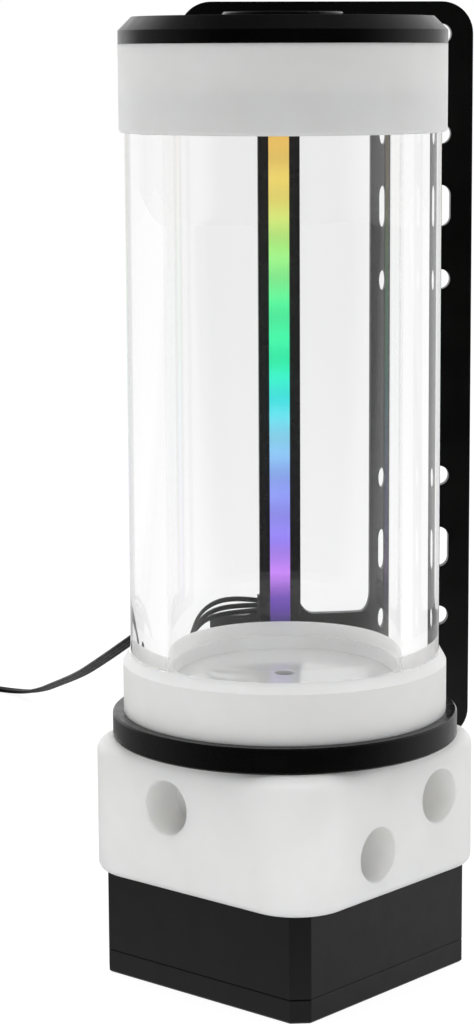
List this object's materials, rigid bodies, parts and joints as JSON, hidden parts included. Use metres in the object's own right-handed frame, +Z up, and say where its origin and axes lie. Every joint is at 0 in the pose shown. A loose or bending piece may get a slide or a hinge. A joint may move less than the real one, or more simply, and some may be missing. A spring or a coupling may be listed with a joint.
{
  "type": "coolant pump reservoir",
  "caption": "Square motor pump with threaded ports under a clear tube reservoir, on a slotted fan plate with a lit bar and a flat lead.",
  "frame": {"origin": "tube axis at the underside of the base plate", "axes": "+X along the fan plate towards its rail, +Y from the tube to the plate, +Z up along the tube"},
  "size_m": [0.1846, 0.4097, 0.2358],
  "materials": {
    "anodised_black": "black anodised, fine satin",
    "opal_acetal": "opal white, machined and lightly polished",
    "black_acetal": "black, machined, satin",
    "clear_glass": "drawn borosilicate tube, polished",
    "plate_black": "fine matt black coating",
    "screw_black": "black oxide",
    "seal_rubber": "soft black nitrile",
    "board_green": "solder-masked glass epoxy",
    "core_steel": "stacked laminations",
    "coil_copper": "enamelled copper wire",
    "pump_plastic": "glass-filled plastic, moulded",
    "ceramic": "ground ceramic",
    "ferrite": "pressed ferrite magnet",
    "carbon": "sintered carbon",
    "diffuser": "opal diffuser, lit from behind",
    "chip_white": "light-emitting chips",
    "lead_black": "soft PVC insulation",
    "connector_black": "moulded nylon",
    "pin_tin": "tinned contact",
    "spacer_metal": "turned, plain"
  },
  "bodies": {
    "frame": {"base_plate": "anodised_black", "base_screws": "screw_black", "pump_housing": "anodised_black", "cable_grommet": "seal_rubber", "motor_board": "board_green", "stator_core": "core_steel", "stator_coils": "coil_copper", "rotor_cup": "pump_plastic", "bearing_pin": "ceramic", "cup_seal": "seal_rubber", "pump_block": "opal_acetal", "lock_ring": "anodised_black", "ring_screws": "screw_black", "spigot_seal": "seal_rubber", "lower_collar": "opal_acetal", "lower_tube_seal": "seal_rubber", "glass_tube": "clear_glass", "upper_tube_seal": "seal_rubber", "upper_collar": "opal_acetal", "cap_seal": "seal_rubber", "top_cap": "black_acetal", "cap_screws": "screw_black", "mounting_plate": "plate_black", "block_plate_screws": "screw_black", "plate_spacers": "spacer_metal", "collar_plate_screws": "screw_black", "light_channel": "anodised_black", "light_board": "board_green", "light_chips": "chip_white", "light_diffuser": "diffuser", "light_end_caps": "black_acetal", "channel_screws": "screw_black", "lead_relief": "seal_rubber", "light_lead": "lead_black", "light_lead_coil": "lead_black", "lead_connector": "connector_black", "connector_pins": "pin_tin"},
    "impeller": {"impeller": "pump_plastic", "rotor_magnet": "ferrite", "impeller_bush": "carbon"},
    "plug_seal": {"fill_plug_seal": "seal_rubber"},
    "fill_plug": {"fill_plug": "black_acetal"}
  },
  "joints": [
    {"name": "impeller_spin", "type": "hinge", "parent": "frame", "child": "impeller", "pos_m": [0, 0, 0.0259], "axis": [0, 0, 1], "continuous": true},
    {"name": "plug_lift", "type": "slide", "parent": "frame", "child": "plug_seal", "axis": [0, 0, 1], "range_m": [0, 0.00524]},
    {"name": "plug_turn", "type": "hinge", "parent": "plug_seal", "child": "fill_plug", "pos_m": [0, 0, 0.2299], "axis": [0, 0, 1], "range_deg": [0, 1260]}
  ],
  "couplings": [
    {"joint": "plug_turn", "follows": "plug_lift", "rad_per_m": 4188.8}
  ]
}
